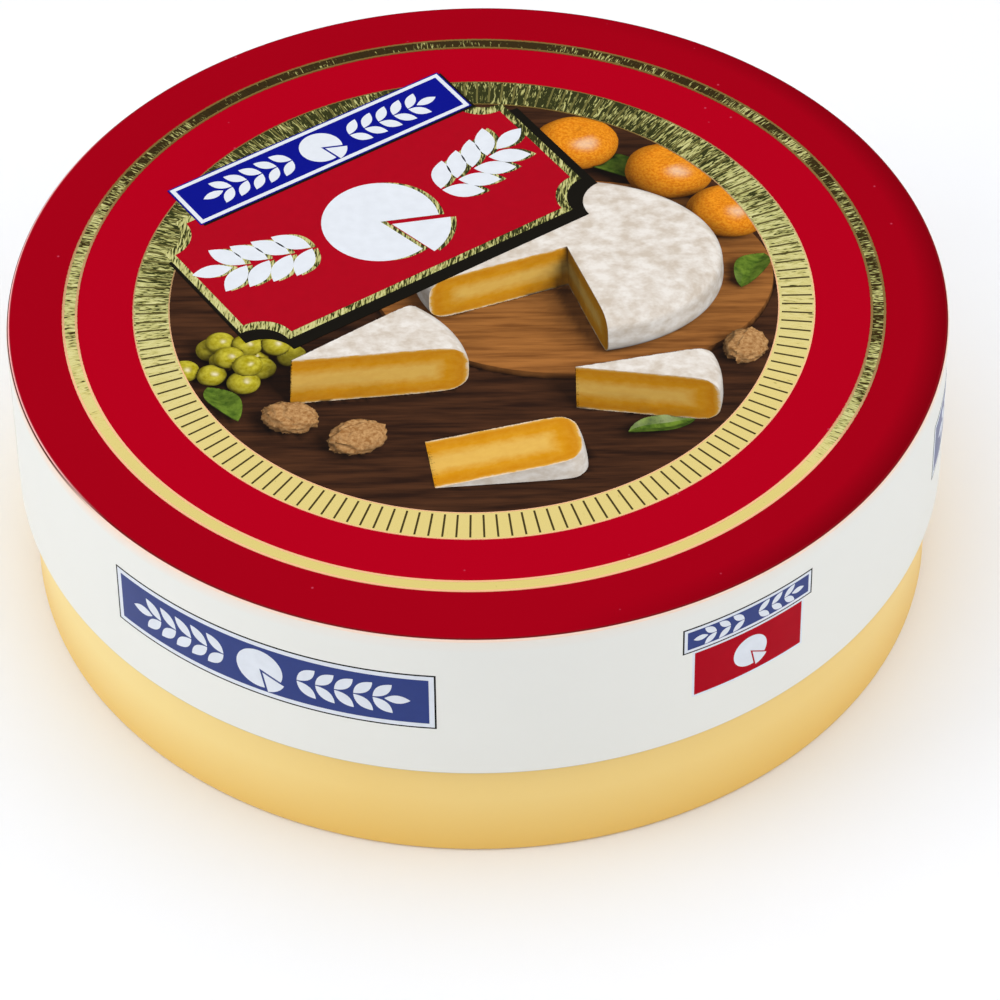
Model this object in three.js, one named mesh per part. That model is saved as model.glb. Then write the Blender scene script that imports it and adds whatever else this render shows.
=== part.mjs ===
// A shut round cheese box of printed paperboard: a deep lid over a tray that its cheese fills.
// Millimetres, +Z up. The origin is the centre of the underside, and -Y is the front.

import * as THREE from "three";

// The box
const lidRadius = 57;
const boxHeight = 37.3; // floor to the printed face of the lid
const lidDepth = 22.3; // printed face to the lower edge of the lid's wall
const boardThickness = 1.2; // the lid's wall and its top panel
const slidingGap = 0.3; // between the lid's wall and the tray
const lowerEdgeChamfer = 0.2; // cut edge of the lid's wall
const footRadius = 0.6; // rolled lower edge of the tray

// The printed sheet glued over the lid's top
const sheetThickness = 0.2;
const sheetTurnDown = 0.4; // how far it wraps down the wall
const topEdgeRadius = 0.35;

// The print is a little off the middle of the lid, and its fields lie on one another
const printShiftX = -0.46;
const printShiftY = 0.56;
const layer = 0.08; // height of one field

// Foil rings and picture
const outerRingOuterRadius = 49.8;
const outerRingInnerRadius = 48.1;
const innerRingOuterRadius = 41.3;
const innerRingInnerRadius = 36.9;
const pictureGap = 0.05;

// Plaque and name band, turned together
const plaqueX = -12.6;
const plaqueY = 16.3;
const plaqueTurn = THREE.MathUtils.degToRad(33.5);
const plaqueLength = 50;
const plaqueHeight = 26;
const cornerScoop = 4.2; // radius of the quarter circles cut out of its corners
const plaqueBorder = 1; // foil edge round the red field
const bandRise = 14.6; // the band's centre above the plaque's
const bandSlide = 1.6; // and along it
const bandLength = 40.2;
const bandHeight = 7.9;

// Bands and badges on the wall, by turns; the last badge's place is bare for the paper's seam
const bandCount = 3;
const badgeCount = 2;
const wallPitch = 121.5; // degrees from one band, or badge, to the next
const firstBandAngle = -117; // degrees from +X
const firstBadgeAngle = -57;
const wallBandLength = 42.8;
const wallBandHeight = 8.8;
const wallBandTop = 6; // below the lid's face
const badgeWidth = 18.4;
const badgeHeight = 11.5;
const badgeTop = 4;
const badgeStripeHeight = 4;
const wallPrintGap = 0.03; // keeps a flat-sided print clear of the flat-sided wall
const wallPrintThickness = 0.12;

// Facets
const roundSides = 120;
const edgeSteps = 4; // along a rounded edge
const wallStep = 3; // degrees between two columns of a print on the wall

const faceZ = boxHeight;
const boardTopZ = faceZ - sheetThickness;
const ceilingZ = boardTopZ - boardThickness;
const lidBottomZ = faceZ - lidDepth;
const sheetLipZ = faceZ - sheetTurnDown;
const lidInnerRadius = lidRadius - boardThickness;
const trayRadius = lidInnerRadius - slidingGap;

const cheeseBox = new THREE.Group();

function finish(color, roughness, metalness = 0) {
  return new THREE.MeshStandardMaterial({ color, roughness, metalness });
}

const whiteBoard = finish(0xf1efe8, 0.55);
const yellowBoard = finish(0xf3d685, 0.6);
const redPaper = finish(0xab0014, 0.4);
const goldFoil = finish(0xd8c878, 0.3, 0.9);
const pictureInk = finish(0x6b4322, 0.45);
const blueInk = finish(0x22368c, 0.45);

function addPiece(name, geometry, material) {
  const mesh = new THREE.Mesh(geometry, material);
  mesh.name = name;
  cheeseBox.add(mesh);
  return mesh;
}

// Round pieces

// Points [radius, height] of a quarter turn about a centre, from one angle to another in degrees.
function roundedEdge(centreRadius, centreZ, radius, fromDegrees, toDegrees) {
  const points = [];
  for (let step = 0; step <= edgeSteps; step += 1) {
    const degrees = fromDegrees + ((toDegrees - fromDegrees) * step) / edgeSteps;
    const angle = THREE.MathUtils.degToRad(degrees);
    points.push([centreRadius + radius * Math.cos(angle), centreZ + radius * Math.sin(angle)]);
  }
  return points;
}

function turned(profile) {
  const points = profile.map(([radius, z]) => new THREE.Vector2(radius, z));
  return new THREE.LatheGeometry(points, roundSides).rotateX(Math.PI / 2);
}

function tray() {
  return turned([
    [0, 0],
    ...roundedEdge(trayRadius - footRadius, footRadius, footRadius, -90, 0),
    [trayRadius, ceilingZ],
    [0, ceilingZ],
  ]);
}

function lid() {
  const edge = topEdgeRadius - sheetThickness;
  return turned([
    [0, ceilingZ],
    [lidInnerRadius, ceilingZ],
    [lidInnerRadius, lidBottomZ],
    [lidRadius - lowerEdgeChamfer, lidBottomZ],
    [lidRadius, lidBottomZ + lowerEdgeChamfer],
    [lidRadius, sheetLipZ],
    [lidRadius - sheetThickness, sheetLipZ],
    ...roundedEdge(lidRadius - topEdgeRadius, faceZ - topEdgeRadius, edge, 0, 90),
    [0, boardTopZ],
  ]);
}

function topSheet() {
  const centreRadius = lidRadius - topEdgeRadius;
  const centreZ = faceZ - topEdgeRadius;
  return turned([
    [0, boardTopZ],
    ...roundedEdge(centreRadius, centreZ, topEdgeRadius - sheetThickness, 90, 0),
    [lidRadius - sheetThickness, sheetLipZ],
    [lidRadius, sheetLipZ],
    ...roundedEdge(centreRadius, centreZ, topEdgeRadius, 0, 90),
    [0, faceZ],
  ]);
}

function flatRing(innerRadius, outerRadius) {
  const top = faceZ + layer;
  const profile = [
    [innerRadius, faceZ],
    [outerRadius, faceZ],
    [outerRadius, top],
    [innerRadius, top],
    [innerRadius, faceZ],
  ];
  return turned(profile).translate(printShiftX, printShiftY, 0);
}

function pictureDisc() {
  const radius = innerRingInnerRadius - pictureGap;
  const profile = [
    [0, faceZ],
    [radius, faceZ],
    [radius, faceZ + layer],
    [0, faceZ + layer],
  ];
  return turned(profile).translate(printShiftX, printShiftY, 0);
}

addPiece("tray", tray(), yellowBoard);
addPiece("lid", lid(), whiteBoard);
addPiece("top_sheet", topSheet(), redPaper);
addPiece("foil_ring_outer", flatRing(outerRingInnerRadius, outerRingOuterRadius), goldFoil);
addPiece("foil_ring_inner", flatRing(innerRingInnerRadius, innerRingOuterRadius), goldFoil);
addPiece("picture_disc", pictureDisc(), pictureInk);

// Plaque and name band on the lid's face

// A rectangle whose corners are cut out by quarter circles.
function scoopedOutline(length, height, scoop) {
  const x = length / 2;
  const y = height / 2;
  const outline = new THREE.Shape();
  outline.moveTo(-x + scoop, -y);
  outline.lineTo(x - scoop, -y);
  outline.absarc(x, -y, scoop, Math.PI, Math.PI / 2, true);
  outline.lineTo(x, y - scoop);
  outline.absarc(x, y, scoop, -Math.PI / 2, -Math.PI, true);
  outline.lineTo(-x + scoop, y);
  outline.absarc(-x, y, scoop, 0, -Math.PI / 2, true);
  outline.lineTo(-x, -y + scoop);
  outline.absarc(-x, -y, scoop, Math.PI / 2, 0, true);
  return outline;
}

function rectangleOutline(length, height) {
  const outline = new THREE.Shape();
  outline.moveTo(-length / 2, -height / 2);
  outline.lineTo(length / 2, -height / 2);
  outline.lineTo(length / 2, height / 2);
  outline.lineTo(-length / 2, height / 2);
  return outline;
}

const plaque = new THREE.Group();
plaque.position.set(plaqueX, plaqueY, faceZ + layer);
plaque.rotation.z = plaqueTurn;
cheeseBox.add(plaque);

// Lays an outline on the plaque, a number of layers up, at x and y in the plaque's own turn.
function addField(name, outline, material, layersUp, x, y) {
  const options = { depth: layer, bevelEnabled: false, curveSegments: 8 };
  const mesh = addPiece(name, new THREE.ExtrudeGeometry(outline, options), material);
  mesh.position.set(x, y, layersUp * layer);
  plaque.add(mesh);
}

const redLength = plaqueLength - 2 * plaqueBorder;
const redHeight = plaqueHeight - 2 * plaqueBorder;
const redOutline = scoopedOutline(redLength, redHeight, cornerScoop);
addField("plaque_edge", scoopedOutline(plaqueLength, plaqueHeight, cornerScoop), goldFoil, 0, 0, 0);
addField("plaque_field", redOutline, redPaper, 1, 0, 0);
addField("name_band", rectangleOutline(bandLength, bandHeight), blueInk, 2, bandSlide, bandRise);

// Prints bent round the lid's wall

// A thin plate bent to the wall: centred at an angle, with its top so far below the lid's face.
function wallPrint(width, height, topBelowFace, degrees, innerRadius) {
  const columns = Math.ceil(THREE.MathUtils.radToDeg(width / lidRadius) / wallStep);
  const plate = new THREE.BoxGeometry(width, height, wallPrintThickness, columns, 1, 1);
  const middleZ = faceZ - topBelowFace - height / 2;
  const middleRadius = innerRadius + wallPrintThickness / 2;
  const places = plate.getAttribute("position");
  for (let index = 0; index < places.count; index += 1) {
    const angle = THREE.MathUtils.degToRad(degrees) + places.getX(index) / lidRadius;
    const radius = middleRadius + places.getZ(index);
    const z = middleZ + places.getY(index);
    places.setXYZ(index, radius * Math.cos(angle), radius * Math.sin(angle), z);
  }
  return plate;
}

const printRadius = lidRadius + wallPrintGap;
for (let turn = 0; turn < bandCount; turn += 1) {
  const bandAngle = firstBandAngle + wallPitch * turn;
  const band = wallPrint(wallBandLength, wallBandHeight, wallBandTop, bandAngle, printRadius);
  addPiece(`wall_band_${turn + 1}`, band, blueInk);
}

const badgeFieldWidth = 0.86 * badgeWidth;
const badgeFieldHeight = badgeHeight - badgeStripeHeight;
const badgeFieldTop = badgeTop + badgeStripeHeight + wallPrintGap;
for (let turn = 0; turn < badgeCount; turn += 1) {
  const badgeAngle = firstBadgeAngle + wallPitch * turn;
  const stripe = wallPrint(badgeWidth, badgeStripeHeight, badgeTop, badgeAngle, printRadius);
  const field = wallPrint(badgeFieldWidth, badgeFieldHeight, badgeFieldTop, badgeAngle, printRadius);
  addPiece(`badge_stripe_${turn + 1}`, stripe, blueInk);
  addPiece(`badge_field_${turn + 1}`, field, redPaper);
}

export default cheeseBox;
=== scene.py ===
import math
import random

import bmesh
import bpy
from mathutils import Matrix, Quaternion, Vector, noise
from mathutils.bvhtree import BVHTree


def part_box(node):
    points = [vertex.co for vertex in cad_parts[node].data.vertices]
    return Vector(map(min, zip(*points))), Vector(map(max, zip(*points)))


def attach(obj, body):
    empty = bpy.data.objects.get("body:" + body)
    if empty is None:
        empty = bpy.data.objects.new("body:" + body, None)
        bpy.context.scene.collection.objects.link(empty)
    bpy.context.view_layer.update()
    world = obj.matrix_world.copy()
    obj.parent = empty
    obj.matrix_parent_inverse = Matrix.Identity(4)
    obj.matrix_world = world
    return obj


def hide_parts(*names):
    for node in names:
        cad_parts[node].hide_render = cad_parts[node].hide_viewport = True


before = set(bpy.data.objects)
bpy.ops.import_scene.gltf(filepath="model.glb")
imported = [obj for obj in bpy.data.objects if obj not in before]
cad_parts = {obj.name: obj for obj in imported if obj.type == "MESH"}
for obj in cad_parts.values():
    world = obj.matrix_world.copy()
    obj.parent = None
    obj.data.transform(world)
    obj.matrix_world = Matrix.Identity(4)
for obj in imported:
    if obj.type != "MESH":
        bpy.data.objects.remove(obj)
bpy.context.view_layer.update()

mm = 0.001  # shapes are drawn in millimetres and end in metres


def spanOf(node):
    # a node's middle and its size, in millimetres
    low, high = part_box(node)
    return (low + high) / 2 / mm, (high - low) / mm


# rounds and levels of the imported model, in millimetres
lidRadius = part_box("top_sheet")[1].x / mm
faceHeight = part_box("top_sheet")[1].z / mm
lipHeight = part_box("top_sheet")[0].z / mm
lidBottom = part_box("lid")[0].z / mm
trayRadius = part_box("tray")[1].x / mm
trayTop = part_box("tray")[1].z / mm
ringMiddle, ringSpan = spanOf("foil_ring_inner")
thinRingOuter = spanOf("foil_ring_outer")[1].x / 2
wideRingOuter = ringSpan.x / 2
pictureRadius = spanOf("picture_disc")[1].x / 2
printMiddle = Vector((ringMiddle.x, ringMiddle.y, 0))  # the whole print sits a little off the lid's middle

# how far above the red paper each layer of print ends, in millimetres
levels = {
    "picture": 0.022, "ring": 0.055, "ringLine": 0.062, "tick": 0.068, "plaqueShadow": 0.078,
    "plaqueEdge": 0.088, "plaqueField": 0.098, "motifFoil": 0.108, "motif": 0.118, "bandShadow": 0.108,
    "band": 0.128, "bandLine": 0.138, "bandField": 0.148, "bandMotif": 0.158,
}
# and where it starts, which is a little way in the paper for all but the motifs
feet = {"motifFoil": 0.08, "motif": 0.09, "bandMotif": 0.14}
paperFoot = -0.01


# small helpers

def linearColour(hexColour):
    # sRGB hex to the linear values that shaders take
    channels = [int(hexColour[place:place + 2], 16) / 255 for place in (1, 3, 5)]
    return [c / 12.92 if c <= 0.04045 else ((c + 0.055) / 1.055) ** 2.4 for c in channels] + [1]


def addNode(tree, kind, settings=(), links=()):
    # settings are the node's properties or inputs; a link comes from a socket or a node's first output
    node = tree.nodes.new("ShaderNode" + kind)
    for name, value in dict(settings).items():
        if isinstance(name, str) and hasattr(node, name):
            setattr(node, name, value)
        else:
            node.inputs[name].default_value = value
    for name, source in dict(links).items():
        socket = source.outputs[0] if isinstance(source, bpy.types.Node) else source
        tree.links.new(socket, node.inputs[name])
    return node


def newMaterial(name, roughness, specular=0.5, metallic=0.0):
    material = bpy.data.materials.new(name)
    material.use_nodes = True
    shader = material.node_tree.nodes["Principled BSDF"]
    shader.inputs["Roughness"].default_value = roughness
    shader.inputs["Specular IOR Level"].default_value = specular
    shader.inputs["Metallic"].default_value = metallic
    return material, material.node_tree, shader


def mixColours(tree, share, first, second, blend="MIX"):
    # the share and the two colours are nodes, sockets, numbers or hex colours
    settings = {"data_type": "RGBA", "blend_type": blend}
    links = {}
    for place, item in ((0, share), (6, first), (7, second)):
        if isinstance(item, str):
            settings[place] = linearColour(item)
        elif isinstance(item, (int, float)):
            settings[place] = item
        else:
            links[place] = item
    return addNode(tree, "Mix", settings, links).outputs[2]


def colourRamp(tree, share, stops):
    # a hex colour or a grey level for each place of a share
    ramp = addNode(tree, "ValToRGB", {}, {"Fac": share})
    points = ramp.color_ramp.elements
    while len(points) < len(stops):
        points.new(0.5)
    for point, (place, colour) in zip(points, stops):
        point.position = place
        point.color = linearColour(colour) if isinstance(colour, str) else (colour, colour, colour, 1)
    return ramp.outputs["Color"]


def shareAlong(tree, place, axis, low, high, settings=()):
    # 0 to 1 as a place goes from low to high, in millimetres along an axis
    apart = addNode(tree, "SeparateXYZ", {}, {"Vector": place})
    settings = {"From Min": low * mm, "From Max": high * mm, **dict(settings)}
    return addNode(tree, "MapRange", settings, {"Value": apart.outputs[axis]})


def rotation(degrees, axis="Z"):
    return Matrix.Rotation(math.radians(degrees), 4, axis)


def addObject(name, data):
    thing = bpy.data.objects.new(name, data)
    bpy.context.scene.collection.objects.link(thing)
    return thing


def finishPiece(name, mesh, materials, slot, *replaced, smoothBelow=35):
    # to metres, smooth where it is round, and on the one body
    bmesh.ops.scale(mesh, vec=(mm, mm, mm), verts=mesh.verts)
    data = bpy.data.meshes.new(name)
    mesh.to_mesh(data)
    mesh.free()
    for polygon in data.polygons:
        polygon.use_smooth = smoothBelow > 0
    data.set_sharp_from_angle(angle=math.radians(max(smoothBelow, 1)))
    for material in materials:
        data.materials.append(material)
    piece = addObject(name, data)
    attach(piece, "root")
    if replaced:
        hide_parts(*replaced)


# camera, light and floor

cameraValues = {
    "lens": 188.9, "sensor": 36, "distance": 636.0, "elevation": 42.04, "aim": (2.24, -34.24), "roll": -0.68,
}


def aimed(place, aim, roll=0):
    # stands at one point and faces another, both in metres
    facing = (aim - place).to_track_quat("-Z", "Y") @ Quaternion((0, 0, 1), math.radians(roll))
    return Matrix.LocRotScale(place, facing, None)


def placeCamera(values):
    # lens and place as the photo's ellipses give them; the aim lies on the lid's face
    elevation = math.radians(values["elevation"])
    away = Vector((0, -math.cos(elevation), math.sin(elevation))) * values["distance"]
    place = (Vector((0, 0, faceHeight)) + away) * mm
    data = bpy.data.cameras.new("photoCamera")
    data.lens = values["lens"]
    data.sensor_width = values["sensor"]
    camera = addObject("photoCamera", data)
    camera.matrix_world = aimed(place, Vector((*values["aim"], faceHeight)) * mm, values["roll"])
    bpy.context.scene.camera = camera


placeCamera(cameraValues)

# sky levels by degrees above the horizon; lamps in metres and watts
lightValues = {
    "sky": [(-90, 0.72), (12, 0.72), (18, 0.12), (36, 0.12), (38, 1.34), (90, 1.34)],
    "key": {"place": (-1.4, -0.3, 0.6), "size": 0.8, "power": 5.4},
    "fill": {"place": (1.4, -0.2, 0.5), "size": 0.8, "power": 3.2},
}


def studioSky(stops):
    # a pale floor line, a dark wall and a broad soft ceiling, which the foil needs to look like foil
    world = bpy.data.worlds.new("studioSky")
    world.use_nodes = True
    bpy.context.scene.world = world
    tree = world.node_tree
    direction = addNode(tree, "TexCoord").outputs["Generated"]
    upwards = addNode(tree, "SeparateXYZ", {}, {"Vector": direction}).outputs["Z"]
    angle = addNode(tree, "Math", {"operation": "ARCSINE"}, {0: upwards})
    share = addNode(tree, "MapRange", {"From Min": -math.pi / 2, "From Max": math.pi / 2}, {"Value": angle})
    sky = colourRamp(tree, share, [((degrees + 90) / 180, level) for degrees, level in stops])
    tree.links.new(sky, tree.nodes["Background"].inputs["Color"])


def softLight(name, values):
    data = bpy.data.lights.new(name, "AREA")
    data.size = values["size"]
    data.energy = values["power"]
    lamp = addObject(name, data)
    lamp.matrix_world = aimed(Vector(values["place"]), Vector((0, 0, faceHeight / 2)) * mm)


studioSky(lightValues["sky"])
softLight("keyLight", lightValues["key"])
softLight("fillLight", lightValues["fill"])
bpy.context.scene.view_settings.view_transform = "Standard"

floorValues = {"size": 6.0, "colour": "#f7f8fd", "patch": "#fafcff", "patchSize": 333.33}


def layFloor(values):
    # matt white paint, with faint broad patches
    mesh = bmesh.new()
    bmesh.ops.create_grid(mesh, x_segments=1, y_segments=1, size=values["size"] / 2)
    data = bpy.data.meshes.new("studioFloor")
    mesh.to_mesh(data)
    mesh.free()
    material, tree, shader = newMaterial("painted floor", 0.9, 0.1)
    place = addNode(tree, "TexCoord").outputs["Object"]
    patches = addNode(tree, "TexNoise", {"Scale": 1 / (values["patchSize"] * mm)}, {"Vector": place})
    colour = mixColours(tree, patches, values["colour"], values["patch"])
    tree.links.new(colour, shader.inputs["Base Color"])
    data.materials.append(material)
    addObject("studioFloor", data)


layFloor(floorValues)
print("camera, light and floor are set")

# board and paper

whiteValues = {
    "white": "#eeeee8", "cloud": "#eaeae4", "cloudSize": 16.667, "lipTintAndReflection": "#f9dcc6", "lipTintDepth": 1.7,
    "lipRise": 0.1, "tintFrom": -20.0, "tintTo": -50.0, "tintLeast": 0.25, "paintedShadeLine": "#c6b89c",
    "lowLineDepth": 0.24, "fibre": 0.35, "fibreDepth": 0.004,
}
yellowValues = {
    "yellow": "#f7d279", "pale": "#fad987", "cloudSize": 22.222, "left": "#fbe092", "leftFrom": -14.0,
    "leftTo": -44.0, "foot": "#edbb4c", "footDepth": 9.0, "footShare": 0.7, "fibre": 0.35,
    "fibreDepth": 0.004,
}
pulpValues = {"pale": "#b9a98c", "dark": "#8f8068", "fibre": 0.2, "fibreDepth": 0.02}
redValues = {
    "outer": "#a20016", "inner": "#b2001b", "edge": "#78000c", "edgeWidth": 3.2, "edgeFrom": 8, "edgeTo": 42,
    "edgeShare": 0.8, "dust": "#c2405a", "dustApart": 3.8462, "dustSize": 0.05, "fibre": 0.5,
    "fibreDepth": 0.002,
}
foldValues = {
    "turnDown": 0.4, "highlightFrom": -43.0, "highlightTo": -51.0, "fibre": 0.5, "fibreDepth": 0.003,
    "plain": [(0, "#90000f"), (0.05, "#74000c"), (0.2, "#74000c"), (0.27, "#fbdccb"), (1, "#fbe0cc")],
    "paintedGleamAndShade": [(0, "#7a0010"), (0.03, "#e06a74"), (0.07, "#f8b4b0"), (0.16, "#f8b4b0"),
                  (0.24, "#481410"), (0.55, "#5a2a20"), (0.75, "#e0b8a4"), (1, "#f0d2c2")],
}


def paperBump(tree, shader, values):
    # the faint tooth of paper and board, from short fibres
    place = addNode(tree, "TexCoord").outputs["Object"]
    fibres = addNode(tree, "TexNoise", {"Scale": 1 / (values["fibre"] * mm), "Detail": 3.0},
                     {"Vector": place})
    depth = values["fibreDepth"] * mm
    bump = addNode(tree, "Bump", {"Strength": 1.0, "Distance": depth}, {"Height": fibres})
    tree.links.new(bump.outputs["Normal"], shader.inputs["Normal"])
    return place, fibres


def whiteWallBoard(values):
    # clay-coated white board: chalky satin white, warmer just under the turned-down red sheet from the
    # paper's warm edge and a painted reflection of the red, more at the left, and a painted tan shade line
    # along its lower edge
    material, tree, shader = newMaterial("clay-coated white board", 0.5, 0.35)
    place = paperBump(tree, shader, values)[0]
    clouds = addNode(tree, "TexNoise", {"Scale": 1 / (values["cloudSize"] * mm)}, {"Vector": place})
    white = mixColours(tree, clouds, values["white"], values["cloud"])
    # painted shade: a tan line along the wall's lower edge
    lineTop = lidBottom + values["lowLineDepth"]
    paintedShadeLine = shareAlong(tree, place, "Z", lineTop, lineTop - values["lowLineDepth"] / 2)
    white = mixColours(tree, paintedShadeLine, white, values["paintedShadeLine"])
    # painted reflection of the red rim, with the paper's own warm edge, stronger towards the left
    tint = shareAlong(tree, place, "Z", lipHeight - values["lipTintDepth"], lipHeight + values["lipRise"])
    leftwards = shareAlong(tree, place, "X", values["tintFrom"], values["tintTo"],
                           {"To Min": values["tintLeast"]})
    tintShare = addNode(tree, "Math", {"operation": "MULTIPLY"}, {0: tint, 1: leftwards})
    white = mixColours(tree, tintShare, white, values["lipTintAndReflection"])
    tree.links.new(white, shader.inputs["Base Color"])
    return material


def yellowTrayBoard(values):
    # clay-coated board printed a flat warm yellow, a little uneven as wide ink areas are, with a painted
    # sheen towards the left and painted shade towards the foot
    material, tree, shader = newMaterial("yellow printed board", 0.45)
    place = paperBump(tree, shader, values)[0]
    clouds = addNode(tree, "TexNoise", {"Scale": 1 / (values["cloudSize"] * mm), "Detail": 4.0},
                     {"Vector": place})
    yellow = mixColours(tree, clouds, values["yellow"], values["pale"])
    # painted sheen: paler towards the left, where the key lamp falls
    leftwards = shareAlong(tree, place, "X", values["leftFrom"], values["leftTo"])
    yellow = mixColours(tree, leftwards, yellow, values["left"])
    # painted shade: darker towards the foot
    low = shareAlong(tree, place, "Z", values["footDepth"], 0, {"To Max": values["footShare"]})
    yellow = mixColours(tree, low, yellow, values["foot"])
    tree.links.new(yellow, shader.inputs["Base Color"])
    return material


def rawBoard(values):
    # bare grey-brown pulp board, fibrous and dull, as on cut edges and the underside
    material, tree, shader = newMaterial("raw pulp board", 0.9, 0.1)
    fibres = paperBump(tree, shader, values)[1]
    tree.links.new(mixColours(tree, fibres, values["pale"], values["dark"]), shader.inputs["Base Color"])
    return material


def redSheetPaper(values):
    # offset-printed red paper under a matt film: deep even red, lighter between the rings, a little dust
    material, tree, shader = newMaterial("red printed paper", 0.32, 0.006)
    place = paperBump(tree, shader, values)[0]
    centred = addNode(tree, "VectorMath", {"operation": "SUBTRACT", 1: printMiddle * mm}, {0: place})
    flat = addNode(tree, "VectorMath", {"operation": "MULTIPLY", 1: (1, 1, 0)}, {0: centred})
    radius = addNode(tree, "VectorMath", {"operation": "LENGTH"}, {0: flat}).outputs["Value"]
    between = addNode(tree, "MapRange",
                      {"From Min": (thinRingOuter - 1) * mm, "From Max": thinRingOuter * mm},
                      {"Value": radius})
    field = mixColours(tree, between, values["inner"], values["outer"])
    nearEdge = addNode(tree, "MapRange",
                       {"From Min": (lidRadius - values["edgeWidth"]) * mm, "From Max": lidRadius * mm},
                       {"Value": radius})
    rightwards = shareAlong(tree, place, "X", values["edgeFrom"], values["edgeTo"],
                            {"To Max": values["edgeShare"]})
    edgeShare = addNode(tree, "Math", {"operation": "MULTIPLY"}, {0: nearEdge, 1: rightwards})
    field = mixColours(tree, edgeShare, field, values["edge"])
    specks = addNode(tree, "TexVoronoi", {"Scale": 1 / (values["dustApart"] * mm)}, {"Vector": place})
    dust = addNode(tree, "MapRange", {"From Min": values["dustSize"], "From Max": 0.4 * values["dustSize"]},
                   {"Value": specks})
    tree.links.new(mixColours(tree, dust, field, values["dust"]), shader.inputs["Base Color"])
    return material


def redFoldPaper(values):
    # the paper's cut edge on the rolled rim: pale core below the red; the red there is painted darker as
    # shade, and at the left a painted pink highlight lies over a painted dark shade line
    material, tree, shader = newMaterial("burnished red paper", 0.35, 0.06)
    place = paperBump(tree, shader, values)[0]
    down = shareAlong(tree, place, "Z", faceHeight, faceHeight - values["turnDown"])
    # painted highlight and shade line, coming in towards the left of the rim
    leftwards = shareAlong(tree, place, "X", values["highlightFrom"], values["highlightTo"],
                           {"interpolation_type": "SMOOTHSTEP"})
    # painted shade: the red on the fold is darker than the sheet's red
    plain = colourRamp(tree, down, values["plain"])
    paintedGleamAndShade = colourRamp(tree, down, values["paintedGleamAndShade"])
    tree.links.new(mixColours(tree, leftwards, plain, paintedGleamAndShade), shader.inputs["Base Color"])
    return material


whiteBoard = whiteWallBoard(whiteValues)
yellowBoard = yellowTrayBoard(yellowValues)
pulpBoard = rawBoard(pulpValues)
redPaper = redSheetPaper(redValues)
redFold = redFoldPaper(foldValues)

# tray, lid and printed top sheet

boxValues = {
    "steps": 360, "edge": 0.39, "edgeSegments": 8, "foot": 0.6, "footRim": 1.2, "lowerEdge": 0.2,
    "lowerSegments": 3, "lowerRim": 0.5, "gap": 0.3, "sheetRim": 0.6,
}


def turnedMesh(profile, steps, closed=False):
    # a half section of [radius, height] spun round the upright axis
    mesh = bmesh.new()
    verts = [mesh.verts.new((radius, 0, height)) for radius, height in profile]
    edges = [mesh.edges.new(pair) for pair in zip(verts, verts[1:])]
    if closed:
        edges.append(mesh.edges.new((verts[-1], verts[0])))
    bmesh.ops.spin(mesh, geom=verts + edges, axis=(0, 0, 1), cent=(0, 0, 0),
                   angle=2 * math.pi, steps=steps, use_merge=True)
    bmesh.ops.remove_doubles(mesh, verts=mesh.verts, dist=1e-4)
    bmesh.ops.recalc_face_normals(mesh, faces=mesh.faces)
    return mesh


def bevelRound(mesh, radius, height, width, segments):
    # rolls over the round edge at this radius and height
    edges = [edge for edge in mesh.edges
             if all(abs(vert.co.xy.length - radius) < 0.01 and abs(vert.co.z - height) < 0.01
                    for vert in edge.verts)]
    bmesh.ops.bevel(mesh, geom=edges, offset=width, offset_type="OFFSET", segments=segments,
                    affect="EDGES", profile=0.5, material=-1)


def paintFaces(mesh, picked):
    # the second material goes on the faces picked by their middle and their normal
    for face in mesh.faces:
        face.material_index = int(picked(face.calc_center_median(), face.normal))


def makeTray(values):
    r, top, rim = trayRadius, trayTop, values["footRim"]
    mesh = turnedMesh([(0, 0), (r - rim, 0), (r, 0), (r, rim), (r, top), (0, top)], values["steps"])
    bevelRound(mesh, r, 0, values["foot"], values["edgeSegments"])
    paintFaces(mesh, lambda middle, normal: middle.z < 0.01 and middle.xy.length < r - rim)
    finishPiece("yellowTray", mesh, [yellowBoard, pulpBoard], "tray_board", "tray")


def makeLid(values):
    inner = trayRadius + values["gap"]
    r, low, top = lidRadius, lidBottom, lipHeight
    profile = [(0, trayTop), (inner, trayTop), (inner, low), (r, low), (r, low + values["lowerRim"]),
               (r, top), (0, top)]
    mesh = turnedMesh(profile, values["steps"])
    bevelRound(mesh, r, low, values["lowerEdge"], values["lowerSegments"])
    paintFaces(mesh, lambda middle, normal: normal.z < -0.9 and abs(middle.z - low) < 0.1)
    finishPiece("whiteLid", mesh, [whiteBoard, pulpBoard], "lid_board", "lid")


def makeTopSheet(values):
    r, low, top = lidRadius, lipHeight, faceHeight
    profile = [(0, low), (r, low), (r, top), (r - values["sheetRim"], top), (0, top)]
    mesh = turnedMesh(profile, values["steps"])
    bevelRound(mesh, r, top, values["edge"], values["edgeSegments"])
    paintFaces(mesh, lambda middle, normal: middle.xy.length > r - values["edge"])
    finishPiece("redTopSheet", mesh, [redPaper, redFold], "red_print", "top_sheet")


makeTray(boxValues)
makeLid(boxValues)
makeTopSheet(boxValues)
print("tray, lid and top sheet are made")

# inks and foil

inkValues = {
    "white": "#e9eef6", "blue": "#06108e", "navy": "#25397f", "black": "#15120c", "red": "#b2001b",
    "mottle": "#f0f0f0", "mottleSize": 1.4286, "tick": "#453a18", "tickPale": "#6f6a38",
    "border": "#f3bc8e", "borderDull": "#7c6432", "fadeFrom": 0.3, "fadeTo": 0.75,
}
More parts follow.
